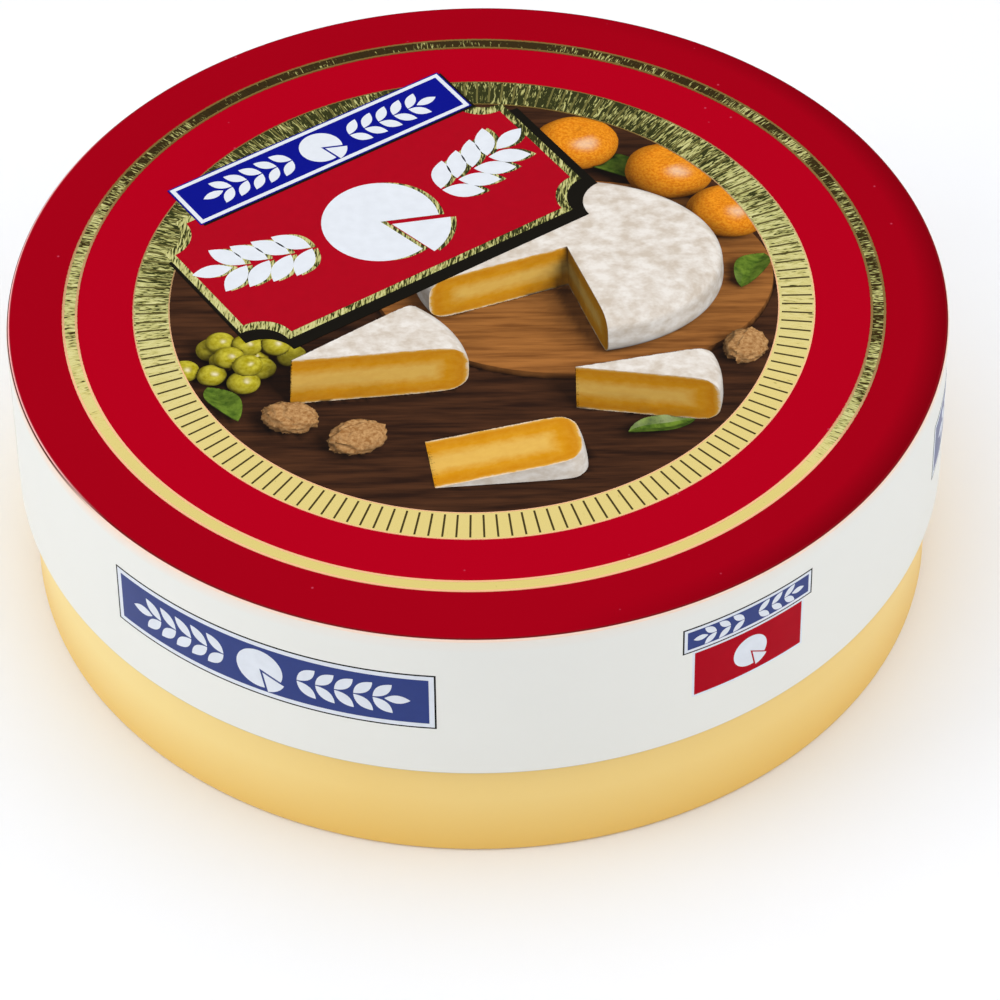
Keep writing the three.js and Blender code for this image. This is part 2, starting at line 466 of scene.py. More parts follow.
# the foil's gold, and the colours of its painted reflections: shade for the dark strokes, a deeper gold
# beside them, gleam for glints and a khaki gold where it mirrors the dark wall
foilValues = {
    "gold": "#c9b771", "darkReflectionGold": "#b2b073", "goldDeep": "#88843f", "shade": "#2c2e10",
    "gleam": "#dad5a0", "strokeWidth": 0.25, "strokeLength": 1.6, "strokeTurns": (0.5, -0.25),
    "strokeEdge": 0.022, "depth": 0.02, "patch": 5.0, "uneven": {1: 1.2, 2: 0.4}, "reach": {1: 0.4, 2: 0.24},
    "soft": 0.08, "softShare": 0.8, "ridge": 0.1, "khakiFrom": 0.1, "khakiTo": 0.5,
    "ripple": {"Scale": 1.0, "Detail": 1.6, "Roughness": 0.5, "Distortion": 1.1},
}
thinFoilValues = {**foilValues, "gold": "#c8b76e", "shade": "#302408"}


def plainInk(name, colour, roughness=0.4, specular=0.03):
    # offset ink on coated paper: flat colour with a faint mottle, almost no shine
    material, tree, shader = newMaterial(name, roughness, specular)
    place = addNode(tree, "TexCoord").outputs["Object"]
    mottle = addNode(tree, "TexNoise", {"Scale": 1 / (inkValues["mottleSize"] * mm), "Detail": 2.0},
                     {"Vector": place})
    darker = mixColours(tree, 1.0, colour, inkValues["mottle"], "MULTIPLY")
    tree.links.new(mixColours(tree, mottle, colour, darker), shader.inputs["Base Color"])
    return material


def foilWithPaintedReflection(name, values):
    # aluminium foil under yellow lacquer, bumped where it has crinkled; painted reflections in its colour
    # give dark strokes across the ring where it mirrors the dark studio wall, deeper gold beside them, pale
    # painted glints and a khaki tone
    material, tree, shader = newMaterial(name, 0.12, metallic=1.0)
    along = addNode(tree, "UVMap", {"uv_map": "millimetres"})
    wrinkleAndReflection = addNode(tree, "Attribute", {"attribute_name": "wrinkleAndReflection"}).outputs["Fac"]
    patches = addNode(tree, "TexNoise", {"Scale": 1 / values["patch"], "Detail": 2.0}, {"Vector": along})
    stretch = (1 / values["strokeWidth"], 1 / values["strokeLength"], 1)
    heights = []
    for turn in values["strokeTurns"]:
        across = addNode(tree, "Mapping", {"Rotation": (0, 0, turn), "Scale": stretch}, {"Vector": along})
        heights.append(addNode(tree, "TexNoise", values["ripple"], {"Vector": across}))
    crossed = addNode(tree, "Mix", {"data_type": "FLOAT"}, {0: patches, 2: heights[0], 3: heights[1]})
    uneven = addNode(tree, "Math", {"operation": "MULTIPLY_ADD", **values["uneven"]}, {0: patches})
    amount = addNode(tree, "Math", {"operation": "MULTIPLY"}, {0: wrinkleAndReflection, 1: uneven})
    threshold = addNode(tree, "Math", {"operation": "MULTIPLY_ADD", **values["reach"]}, {0: amount})
    below = addNode(tree, "Math", {"operation": "SUBTRACT"}, {0: threshold, 1: crossed})
    edge, ridge = values["strokeEdge"], values["ridge"]
    stroke = addNode(tree, "MapRange", {"From Min": -edge, "From Max": edge}, {"Value": below})
    softer = addNode(tree, "MapRange",
                     {"From Min": -values["soft"], "From Max": 0.0, "To Max": values["softShare"]},
                     {"Value": below})
    high = addNode(tree, "MapRange", {"From Min": -ridge, "From Max": -2 * ridge}, {"Value": below})
    gleam = addNode(tree, "Math", {"operation": "MULTIPLY"}, {0: high, 1: amount})
    relief = addNode(tree, "Math", {"operation": "MULTIPLY"}, {0: crossed, 1: amount})
    bump = addNode(tree, "Bump", {"Strength": 1.0, "Distance": values["depth"] * mm}, {"Height": relief})
    tree.links.new(bump.outputs["Normal"], shader.inputs["Normal"])
    # painted reflection: khaki tone, deeper gold, pale glints and dark strokes, by how much painted
    # reflection the foil shows here
    khaki = addNode(tree, "MapRange", {"From Min": values["khakiFrom"], "From Max": values["khakiTo"]},
                    {"Value": wrinkleAndReflection})
    gold = mixColours(tree, khaki, values["gold"], values["darkReflectionGold"])
    gold = mixColours(tree, softer, gold, values["goldDeep"])
    gold = mixColours(tree, gleam, gold, values["gleam"])
    gold = mixColours(tree, stroke, gold, values["shade"])
    tree.links.new(gold, shader.inputs["Base Color"])
    return material


def reflectionToneInk(name, smooth, crinkled):
    # a line printed on the foil, its tone painted to change where the foil shows painted dark reflection
    material, tree, shader = newMaterial(name, 0.4, 0.05)
    wrinkleAndReflection = addNode(tree, "Attribute", {"attribute_name": "wrinkleAndReflection"}).outputs["Fac"]
    share = addNode(tree, "MapRange", {"From Min": inkValues["fadeFrom"], "From Max": inkValues["fadeTo"]},
                    {"Value": wrinkleAndReflection})
    tree.links.new(mixColours(tree, share, smooth, crinkled), shader.inputs["Base Color"])
    return material


whiteInk = plainInk("white ink", inkValues["white"])
blueInk = plainInk("royal blue ink", inkValues["blue"])
navyInk = plainInk("navy ink", inkValues["navy"], 0.3, 0.2)
blackInk = plainInk("black ink", inkValues["black"])
redInk = plainInk("red ink", inkValues["red"])
foil = foilWithPaintedReflection("gold hot-stamp foil", foilValues)
thinFoil = foilWithPaintedReflection("dark gold hot-stamp foil", thinFoilValues)
tickInk = reflectionToneInk("dark olive ink", inkValues["tick"], inkValues["tickPale"])
borderInk = reflectionToneInk("pale gold ink", inkValues["border"], inkValues["borderDull"])

# gold foil rings

ringValues = {
    "steps": 1440, "line": {"thin": 0.28, "wide": 0.15}, "seam": 265, "thinWidth": 1.7, "pictureGap": 0.05,
    "tickCount": 158, "tickLow": 37.3, "tickHigh": 41.0, "tickWidth": 0.25,
}
# the ragged stamped edges: their depth in millimetres, and noise steps round the ring and between edges
raggedValues = {"depth": 0.05, "fine": 180, "apart": 21, "edgeStep": 1.2}
# how crinkled each ring is and how much painted dark reflection its foil shows, by degrees round it from its
# right
wrinkleAndReflectionStops = {
    "thin": [(0, 0.74), (30, 0.73), (45, 0.75), (60, 0.89), (75, 0.86), (90, 0.95), (105, 1.05), (120, 0.97),
             (135, 0.92), (150, 0.78), (165, 0.62), (180, 0.48), (195, 0.3), (208, 0.08), (225, 0), (320, 0),
             (330, 0.42), (345, 0.66), (360, 0.74)],
    "wide": [(0, 0.26), (15, 0.45), (30, 0.55), (45, 0.65), (60, 0.76), (75, 0.82), (115, 0.8), (150, 0.7),
             (172, 0.62), (186, 0.45), (203, 0.2), (225, 0.03), (330, 0.05), (345, 0.15), (360, 0.26)],
}


def shareAt(stops, place):
    # straight lines between the stops
    for (low, first), (high, second) in zip(stops, stops[1:]):
        if low <= place <= high:
            return first + (second - first) * (place - low) / (high - low)
    return stops[-1][1]


def markWrinkleAndReflection(mesh, stops):
    layer = mesh.verts.layers.float.new("wrinkleAndReflection")
    for vert in mesh.verts:
        vert[layer] = shareAt(stops, math.degrees(math.atan2(vert.co.y, vert.co.x)) % 360)


def raggedRing(inner, outer, level, stops, depth):
    # a flat ring whose stamped edges are a little ragged where the foil has crinkled
    low, top = faceHeight + paperFoot, faceHeight + levels[level]
    profile = [(inner, low), (outer, low), (outer, top), (inner, top)]
    mesh = turnedMesh(profile, ringValues["steps"], closed=True)
    for vert in mesh.verts:
        flat = vert.co.xy
        turn = math.atan2(flat.y, flat.x)
        share = shareAt(stops, math.degrees(turn) % 360)
        edge = round(flat.length / raggedValues["edgeStep"])
        along = Vector((turn * raggedValues["fine"], edge * raggedValues["apart"], 0))
        stray = depth * min(1, 2 * share) * noise.noise(along)
        vert.co.x += stray * math.cos(turn)
        vert.co.y += stray * math.sin(turn)
    markWrinkleAndReflection(mesh, stops)
    return mesh


def ringUv(mesh, seam, radius):
    # millimetres round the ring and out from its middle, so that the foil's strokes run across the ring
    layer = mesh.loops.layers.uv.new("millimetres")
    for face in mesh.faces:
        middle = face.calc_center_median()
        start = (math.degrees(math.atan2(middle.y, middle.x)) - seam) % 360
        for loop in face.loops:
            flat = loop.vert.co.xy
            turn = (math.degrees(math.atan2(flat.y, flat.x)) - seam) % 360
            turn += 360 * round((start - turn) / 360)
            loop[layer].uv = (math.radians(turn) * radius, flat.length)


def finishRing(name, mesh, material, *replaced):
    bmesh.ops.translate(mesh, verts=mesh.verts, vec=printMiddle)
    finishPiece(name, mesh, [material], "gold_foil", *replaced)


def makeRing(name, inner, outer, kind, material, node):
    # the foil, and a fine printed line along each of its edges
    stops, width, depth = wrinkleAndReflectionStops[kind], ringValues["line"][kind], raggedValues["depth"]
    mesh = raggedRing(inner, outer, "ring", stops, depth)
    ringUv(mesh, ringValues["seam"], outer)
    finishRing(name, mesh, material, node)
    for label, middle in (("InnerLine", inner + width / 4), ("OuterLine", outer - width / 4)):
        line = raggedRing(middle - width / 2, middle + width / 2, "ringLine", stops, 2 * depth)
        finishRing(name + label, line, borderInk)


def makeTicks(values, stops):
    # the fine radial lines that make the wide ring look milled
    mesh = bmesh.new()
    length = values["tickHigh"] - values["tickLow"]
    middle = (values["tickHigh"] + values["tickLow"]) / 2
    thickness = levels["tick"] - levels["ring"] / 2
    place = Matrix.Translation((middle, 0, faceHeight + levels["tick"] - thickness / 2))
    size = Matrix.Diagonal((length, values["tickWidth"], thickness, 1))
    for index in range(values["tickCount"]):
        turn = rotation(360 * index / values["tickCount"])
        bmesh.ops.create_cube(mesh, size=1, matrix=turn @ place @ size)
    markWrinkleAndReflection(mesh, stops)
    finishRing("ringTicks", mesh, tickInk)


makeRing("thinFoilRing", thinRingOuter - ringValues["thinWidth"], thinRingOuter, "thin", thinFoil,
         "foil_ring_outer")
makeRing("wideFoilRing", pictureRadius + ringValues["pictureGap"], wideRingOuter, "wide", foil,
         "foil_ring_inner")
makeTicks(ringValues, wrinkleAndReflectionStops["wide"])
print("foil rings are made")

# flat shapes for the print

wheelValues = {"gapTurn": -52, "gapWidth": 50, "segments": 60}
leafValues = {"segments": 28, "stalk": 0.06, "tipStep": 0.4, "tip": (0, 0.95, 0.9)}


def extrudeBy(mesh, move):
    # gives flat faces a thickness
    grown = bmesh.ops.extrude_face_region(mesh, geom=mesh.faces[:])
    lifted = [item for item in grown["geom"] if isinstance(item, bmesh.types.BMVert)]
    bmesh.ops.translate(mesh, verts=lifted, vec=move)
    bmesh.ops.recalc_face_normals(mesh, faces=mesh.faces)


def thicken(mesh, low, high):
    # flat shapes become plates between two heights
    for vert in mesh.verts:
        vert.co.z = low
    extrudeBy(mesh, (0, 0, high - low))


def plate(length, height):
    mesh = bmesh.new()
    bmesh.ops.create_grid(mesh, x_segments=1, y_segments=1, size=0.5,
                          matrix=Matrix.Diagonal((length, height, 1, 1)))
    return mesh


def mergeInto(target, source):
    # adds one mesh to another
    data = bpy.data.meshes.new("merged")
    source.to_mesh(data)
    source.free()
    target.from_mesh(data)
    bpy.data.meshes.remove(data)


def addLeaf(mesh, x, y, turn, length, width):
    # a pointed leaf that starts at x and y: a circle pinched at both ends
    made = bmesh.ops.create_circle(mesh, cap_ends=True, radius=1, segments=leafValues["segments"])["verts"]
    for vert in made:
        vert.co.y = math.copysign(1 - min(1, vert.co.x ** 2), vert.co.y)
    shape = Matrix.Translation((x, y, 0)) @ rotation(turn)
    shape = shape @ Matrix.Diagonal((length / 2, width / 2, 1, 1)) @ Matrix.Translation((1, 0, 0))
    bmesh.ops.transform(mesh, matrix=shape, verts=made)
    bmesh.ops.remove_doubles(mesh, verts=made, dist=1e-4)


def addSprigs(mesh, values):
    # a sprig to each side: leaves in pairs along a rising line, and one leaf at the end
    # each leaf is its step along the line, its side of it, and how long and wide it is
    leaves = [(pair, way, 1, 1) for pair in range(values["pairs"]) for way in (1, -1)]
    leaves.append((values["pairs"] - leafValues["tipStep"], *leafValues["tip"]))
    for side in (1, -1):
        sprig = bmesh.new()
        for step, way, longer, wider in leaves:
            along = values["start"] + step * values["step"]
            rise = values["curve"] * along ** 2 + way * leafValues["stalk"] * values["width"]
            turn = math.degrees(math.atan(2 * values["curve"] * along)) + way * values["spread"]
            addLeaf(sprig, along, rise, turn, values["length"] * longer, values["width"] * wider)
        bmesh.ops.scale(sprig, vec=(side, 1, 1), verts=sprig.verts)
        mergeInto(mesh, sprig)


def wheelMesh(radius, pull):
    # a round of cheese from above, with one slice drawn out
    mesh = bmesh.new()
    bmesh.ops.create_circle(mesh, cap_ends=True, cap_tris=True, radius=radius,
                            segments=wheelValues["segments"])
    turn = math.radians(wheelValues["gapTurn"])
    aim = Vector((math.cos(turn), math.sin(turn), 0))
    reach = math.radians(wheelValues["gapWidth"]) / 2
    cut = [face for face in mesh.faces if face.calc_center_median().angle(aim) < reach]
    apart = bmesh.ops.split(mesh, geom=cut)["geom"]
    slicePoints = [item for item in apart if isinstance(item, bmesh.types.BMVert)]
    bmesh.ops.translate(mesh, verts=slicePoints, vec=aim * pull)
    return mesh


def motifMesh(values):
    # a round of cheese between two leafy sprigs
    mesh = wheelMesh(values["wheel"], values["pull"])
    addSprigs(mesh, values["sprig"])
    return mesh


def scoopedPlate(length, height, scoop):
    # a rectangle with quarter circles cut out of its corners
    mesh = bmesh.new()
    x, y = length / 2, height / 2
    for sideX, sideY in ((1, 1), (-1, 1), (-1, -1), (1, -1)):
        start = mesh.verts.new((sideX * x, sideY * (y - scoop), 0))
        bmesh.ops.spin(mesh, geom=[start], cent=(sideX * x, sideY * y, 0), axis=(0, 0, 1),
                       angle=-sideX * sideY * math.pi / 2, steps=12)
    ends = [vert for vert in mesh.verts if len(vert.link_edges) == 1]
    for axis, half in ((0, x), (1, y)):
        for side in (half, -half):
            mesh.edges.new([vert for vert in ends if abs(vert.co[axis] - side) < 1e-3])
    bmesh.ops.edgeloop_fill(mesh, edges=mesh.edges[:])
    return mesh


# plaque and name band on the lid's face

plaqueValues = {
    "turn": 33.5, "length": 50.0, "height": 26.0, "border": 1.0, "scoop": 4.2, "shadow": (1.3, -1.3),
    "shadowLonger": 1.6, "wheel": 7.3, "pull": 1.5, "motifY": -1.4, "foilShift": (0.6, -0.3),
    "strokeTurn": 38, "wrinkleAndReflection": 0.6, "wrinkleAndReflectionSlope": 0.0048,
    "sprig": {"pairs": 4, "start": 9.6, "step": 2.75, "length": 5.3, "width": 2.5, "spread": 46,
              "curve": 0.0085},
}
bandValues = {
    "length": 40.2, "height": 7.9, "outline": 0.2, "keyline": 0.55, "shadow": (0.3, -0.35), "wheel": 2.75,
    "pull": 0.6,
    "sprig": {"pairs": 5, "start": 4.3, "step": 2.2, "length": 3.0, "width": 1.35, "spread": 44,
              "curve": 0.0},
}
plaqueMiddle = spanOf("plaque_edge")[0]


def plaqueUv(mesh, values):
    # millimetres across the plate, turned so that the foil's strokes lie slanted to its edges
    layer = mesh.loops.layers.uv.new("millimetres")
    # more crinkle and more painted dark reflection towards the plate's right
    wrinkleAndReflection = mesh.verts.layers.float.new("wrinkleAndReflection")
    for vert in mesh.verts:
        vert[wrinkleAndReflection] = values["wrinkleAndReflection"] + values["wrinkleAndReflectionSlope"] * vert.co.x
    swing = rotation(values["strokeTurn"])
    for face in mesh.faces:
        for loop in face.loops:
            loop[layer].uv = (swing @ loop.vert.co).xy


def layOnPlaque(name, mesh, material, slot, level, *replaced, shift=(0, 0)):
    # a plate of print at its level, shifted along the plaque's own turn
    thicken(mesh, feet.get(level, paperFoot), levels[level])
    bmesh.ops.translate(mesh, verts=mesh.verts, vec=(shift[0], shift[1], 0))
    if material is foil:
        plaqueUv(mesh, plaqueValues)
    place = Matrix.Translation((plaqueMiddle.x, plaqueMiddle.y, faceHeight))
    mesh.transform(place @ rotation(plaqueValues["turn"]))
    finishPiece(name, mesh, [material], slot, *replaced)


def makePlaque(values):
    length, height, scoop, inset = values["length"], values["height"], values["scoop"], 2 * values["border"]
    away = rotation(-values["turn"]) @ Vector((*values["shadow"], 0))
    shade = scoopedPlate(length + values["shadowLonger"], height, scoop)
    layOnPlaque("plaqueShadow", shade, blackInk, "picture_print", "plaqueShadow", shift=away)
    edge = scoopedPlate(length, height, scoop)
    layOnPlaque("plaqueFoilEdge", edge, foil, "gold_foil", "plaqueEdge", "plaque_edge")
    field = scoopedPlate(length - inset, height - inset, scoop)
    layOnPlaque("plaqueRedField", field, redInk, "red_print", "plaqueField", "plaque_field")
    foilPlace = Vector((0, values["motifY"])) + Vector(values["foilShift"])
    layOnPlaque("plaqueMotifFoil", motifMesh(values), foil, "gold_foil", "motifFoil", shift=foilPlace)
    layOnPlaque("plaqueMotif", motifMesh(values), whiteInk, "picture_print", "motif",
                shift=(0, values["motifY"]))


def makeNameBand(values):
    middle = (rotation(-plaqueValues["turn"]) @ (spanOf("name_band")[0] - plaqueMiddle)).xy
    plates = [
        ("nameBandShadow", 0, blackInk, "bandShadow", values["shadow"], ()),
        ("nameBand", 0, blueInk, "band", (0, 0), ("name_band",)),
        ("nameBandKeyline", values["outline"], whiteInk, "bandLine", (0, 0), ()),
        ("nameBandField", values["outline"] + values["keyline"], blueInk, "bandField", (0, 0), ()),
    ]
    for name, inset, ink, level, shift, replaced in plates:
        mesh = plate(values["length"] - 2 * inset, values["height"] - 2 * inset)
        layOnPlaque(name, mesh, ink, "blue_print", level, *replaced, shift=middle + Vector(shift))
    layOnPlaque("nameBandMotif", motifMesh(values), whiteInk, "blue_print", "bandMotif", shift=middle)


makePlaque(plaqueValues)
makeNameBand(bandValues)
print("plaque and name band are made")

# bands, badges and paper seams round the wall

wallValues = {
    "cutEvery": 1.2, "cutShift": 0.013, "foot": -0.02, "levels": (0.012, 0.024, 0.036, 0.048),
    "bandLength": 42.8, "bandInsets": (0, 0.22, 0.84),
    "bandArt": {"wheel": 3.0, "pull": 0.65,
                "sprig": {"pairs": 5, "start": 4.8, "step": 2.3, "length": 3.2, "width": 1.45, "spread": 44,
                          "curve": 0.0}},
    "stripeLength": 18.4, "stripeInsets": (0, 0.2, 0.6), "fieldLength": 15.824, "fieldInsets": (0, 0.3),
    "stripeArt": {"pairs": 3, "start": 1.0, "step": 1.9, "length": 2.0, "width": 0.9, "spread": 38,
                  "curve": 0.0},
    "badgeWheel": 2.35, "badgePull": 0.5,
}
seamValues = {"length": 9.0, "thickness": 0.06, "lid": 181.0, "tray": 96.0, "margin": 0.35}


def bendToWall(mesh, degrees, height, top, wallRadius=lidRadius):
    # cut across every little way, given its thickness and bent round the wall at this place
    reach = max(abs(vert.co.x) for vert in mesh.verts)
    cuts = int(reach / wallValues["cutEvery"])
    for index in range(-cuts, cuts + 1):
        geometry = mesh.verts[:] + mesh.edges[:] + mesh.faces[:]
        place = (index * wallValues["cutEvery"] + wallValues["cutShift"], 0, 0)
        bmesh.ops.bisect_plane(mesh, geom=geometry, plane_co=place, plane_no=(1, 0, 0), dist=1e-4)
    thicken(mesh, wallValues["foot"], top)
    for vert in mesh.verts:
        angle = math.radians(degrees) + vert.co.x / wallRadius
        radius = wallRadius + vert.co.z
        vert.co = (radius * math.cos(angle), radius * math.sin(angle), height + vert.co.y)


def wallAngle(node):
    middle = spanOf(node)[0]
    return math.degrees(math.atan2(middle.y, middle.x))


def wallPlates(name, node, degrees, length, inks, insets, slot):
    # plates on one another, each smaller than the last
    middle, span = spanOf(node)
    for index, (ink, inset) in enumerate(zip(inks, insets)):
        mesh = plate(length - 2 * inset, span.z - 2 * inset)
        bendToWall(mesh, degrees, middle.z, wallValues["levels"][index])
        finishPiece(f"{name}Layer{index + 1}", mesh, [ink], slot, *([node] if index == 0 else []))


def wallArt(name, node, degrees, mesh, layer, slot):
    # a white motif in the middle of a node's plates
    bendToWall(mesh, degrees, spanOf(node)[0].z, wallValues["levels"][layer])
    finishPiece(name, mesh, [whiteInk], slot)


def makeWallBand(number, values):
    node = f"wall_band_{number}"
    degrees = wallAngle(node)
    wallPlates(f"wallBand{number}", node, degrees, values["bandLength"], (blackInk, whiteInk, navyInk),
               values["bandInsets"], "blue_print")
    wallArt(f"wallBand{number}Motif", node, degrees, motifMesh(values["bandArt"]), 3, "blue_print")


def makeBadge(number, values):
    stripe, field = f"badge_stripe_{number}", f"badge_field_{number}"
    degrees = wallAngle(stripe)
    wallPlates(f"badge{number}Field", field, degrees, values["fieldLength"], (whiteInk, redInk),
               values["fieldInsets"], "red_print")
    wheel = wheelMesh(values["badgeWheel"], values["badgePull"])
    wallArt(f"badge{number}Wheel", field, degrees, wheel, 2, "red_print")
    wallPlates(f"badge{number}Stripe", stripe, degrees, values["stripeLength"],
               (blackInk, whiteInk, navyInk), values["stripeInsets"], "blue_print")
    sprigs = bmesh.new()
    addSprigs(sprigs, values["stripeArt"])
    wallArt(f"badge{number}Sprig", stripe, degrees, sprigs, 3, "blue_print")


def makeSeams(values):
    # the paper round each wall ends in a lap at the back
    places = (
        ("lidPaperLap", values["lid"], lidBottom, lipHeight, lidRadius, whiteBoard, "lid_board"),
        ("trayPaperLap", values["tray"], boxValues["foot"], lidBottom, trayRadius, yellowBoard,
         "tray_board"),
    )
    for name, degrees, low, high, radius, material, slot in places:
        mesh = plate(values["length"], high - low - 2 * values["margin"])
        bendToWall(mesh, degrees, (low + high) / 2, values["thickness"], radius)
        finishPiece(name, mesh, [material], slot)


makeSeams(seamValues)
for bandNumber in (1, 2, 3):
    makeWallBand(bandNumber, wallValues)
for badgeNumber in (1, 2):
    makeBadge(badgeNumber, wallValues)
print("wall bands and badges are made")

# the picture: a small still life, modelled, lit and then pressed flat as print

pictureValues = {
    "tilt": 46, "relief": 0.0004, "sun": (0.42, -0.5, 0.74), "sunSpread": 0.12, "sunRays": 16,
    "sunReach": 60, "skyRays": 40, "skyReach": 12.0, "horizon": -0.05, "rayStart": 0.12, "ambient": 0.42,
    "sunlight": 0.86, "shadeGloss": 0.3, "seed": 11, "groundRings": 60, "groundSteps": 144,
    "groundDepth": 20, "overlap": 0.05,
}
# sizes in millimetres, then x, y and height on the table, turn in degrees and lean
stillLife = {
    "grid": 0.75,
    "board": {"radius": 24.5, "thick": 1.5, "place": (12.0, 4.5), "rings": 24, "steps": 120},
    "wheel": {"size": (19.0, 10.2), "cut": (207, 284), "place": (11.5, 2.0)},
    "wedges": [((21.5, 11.0, 8, 36), (-22, -25)), ((17.5, 10.4, -12, 28), (12, -27)),
               ((18.5, 11.0, 0, 15), (-6, -34.5, 0, 6, (90, 0)))],
    "grapes": [((15, 1.95, 4), (-27.5, -16, 0, 35))],
    "fruit": [((5.6, 0.88, 0.9, 3), (24.5, 28, 4.9)), ((5.2, 0.9, 0.8, 8), (31.5, 16, 6.1)),
              ((5.4, 0.86, 0.8, 5), (13, 36, 4.6))],
    "nuts": [((3.4, 2), (-14, -36, 3, 30)), ((3.2, 6), (-22, -31, 2.9, -20)),
             ((3.1, 9), (32.5, -15, 2.8, 70))],
    "leaves": [((11, 4.6, 1), (18, 32, 0.4, 150)), ((9, 4, 2), (34, 4, 1.9, 70)),
               ((9, 3.8, 3), (-30, -26, 0.3, 115)), ((8.5, 3.6, 4), (22, -33, 0.3, 20))],
}
# the forms of its things, as shares of their size; the leaf's and the walnut's folds are in millimetres
formValues = {
    "rind": {"bulge": 0.07, "drop": 0.13},
    "fruit": {"dimpleWidth": 0.45, "lumpSize": 0.6, "lumpDepth": 0.04},
    "grapes": {"lower": 0.68, "apart": 1.12, "upperRise": 2.45, "wide": 1.2, "deep": 0.85, "tall": 1.05,
               "sizes": (0.92, 1.06)},
    "walnut": {"fold": 0.75, "foldDepth": 0.22, "seamWidth": 0.12, "seamRise": 0.07,
               "squash": (1.15, 0.92, 0.95)},
    "leaf": {"taper": 0.8, "fold": 1.2, "wave": 0.35, "rise": 0.9, "thickness": 0.25},
}
tilt = math.radians(pictureValues["tilt"])
pictureView = Vector((0, -math.cos(tilt), math.sin(tilt)))
goldenAngle = math.pi * (3 - math.sqrt(5))


def cheeseSector(radius, height, start, sweep):
    # part of a round cheese: a gridded half section, rounded at the rind and spun part of the way
    mesh = bmesh.new()
    depth = mesh.verts.layers.float.new("core")
    grid, rind = stillLife["grid"], formValues["rind"]
    bmesh.ops.create_grid(mesh, x_segments=round(radius / grid), y_segments=round(height / grid), size=0.5)
    for vert in mesh.verts:
        out, up = vert.co.x + 0.5, 2 * vert.co.y
        vert[depth] = min(radius * (1 - out), height / 2 * (1 - abs(up)))
        flat = radius * out * (1 - rind["bulge"] * abs(up) ** 4 * out ** 8)
        rise = height / 2 * (1 + up * (1 - rind["drop"] * out ** 12))
        vert.co = (flat, 0, rise)
    mesh.transform(rotation(start))
    bmesh.ops.spin(mesh, geom=mesh.verts[:] + mesh.edges[:] + mesh.faces[:], axis=(0, 0, 1), cent=(0, 0, 0),
                   angle=math.radians(sweep), steps=max(4, round(sweep / 3)))
    bmesh.ops.remove_doubles(mesh, verts=mesh.verts, dist=1e-3)
    bmesh.ops.recalc_face_normals(mesh, faces=mesh.faces)
    paintFaces(mesh, lambda middle, normal: abs(normal.z) < 0.5 and
               abs(normal.xy.dot(middle.xy.normalized())) < 0.4)
    return mesh


def roundFruit(radius, squash, dimple, seed):
    # a squashed ball with a dimple on top and small lumps all over
    form = formValues["fruit"]
    mesh = bmesh.new()
    bmesh.ops.create_uvsphere(mesh, u_segments=40, v_segments=24, radius=radius)
    for vert in mesh.verts:
        near = max(0, 1 - vert.co.xy.length / (radius * form["dimpleWidth"]))
        if vert.co.z > 0:
            vert.co.z -= dimple * near ** 2
    bmesh.ops.scale(mesh, vec=(1, 1, squash), verts=mesh.verts)
    mesh.normal_update()
    size, depth = radius * form["lumpSize"], radius * form["lumpDepth"]
    for vert in mesh.verts:
        vert.co += vert.normal * depth * noise.noise(vert.co / size + Vector((seed, 0, 0)))
    return mesh


def grapeBunch(count, size, seed):
    # grapes in a low heap of two layers, each a little off its place in a spiral
    random.seed(seed)
    form = formValues["grapes"]
    mesh = bmesh.new()
    lower = round(count * form["lower"])
    for index in range(count):
        upper = index >= lower
        order = index - lower if upper else index
        turn = order * goldenAngle + upper
        reach = form["apart"] * size * math.sqrt(order + 0.2)
        x, y = form["wide"] * reach * math.cos(turn), form["deep"] * reach * math.sin(turn)
        grape = roundFruit(size * random.uniform(*form["sizes"]), form["tall"], 0, index)
        mergeInto(mesh, setDown(grape, x, y, form["upperRise"] * size if upper else size))
    return mesh


def walnut(radius, seed):
    # a ball furrowed by folds, with a raised seam round it
    form = formValues["walnut"]
    mesh = bmesh.new()
    bmesh.ops.create_uvsphere(mesh, u_segments=48, v_segments=30, radius=radius)
    for vert in mesh.verts:
        fold = abs(noise.noise(vert.co * form["fold"] + Vector((seed, 0, 0))))
        seam = max(0, 1 - abs(vert.co.y) / (radius * form["seamWidth"]))
        vert.co *= 1 - form["foldDepth"] * fold ** 0.6 + form["seamRise"] * seam
    bmesh.ops.scale(mesh, vec=form["squash"], verts=mesh.verts)
    return mesh


def leaf(length, width, seed):
    # a bent thin leaf with a fold along its middle
    form = formValues["leaf"]
    mesh = bmesh.new()
    bmesh.ops.create_grid(mesh, x_segments=16, y_segments=6, size=1)
    for vert in mesh.verts:
        x, y = vert.co.x, vert.co.y
        across = y * width / 2 * (1 - x * x) ** form["taper"] + 1e-3 * y
        up = form["fold"] * abs(y) * (1 - x * x) + form["wave"] * math.sin(3 * x + seed) + form["rise"]
        vert.co = (x * length / 2, across, up)
    mesh.normal_update()
    extrudeBy(mesh, (0, 0, form["thickness"]))
    return mesh


def setDown(mesh, x, y, z=0, turn=0, lean=(0, 0)):
    # leans a thing, turns it, and puts its place on the table
    place = Matrix.Translation((x, y, z)) @ rotation(turn) @ rotation(lean[0], "X") @ rotation(lean[1], "Y")
    mesh.transform(place)
    return mesh


def gathered(make, things):
    # one mesh of all things of a kind, each made at its size and set down at its place
    whole = bmesh.new()
    for size, place in things:
        mergeInto(whole, setDown(make(*size), *place))
    return whole


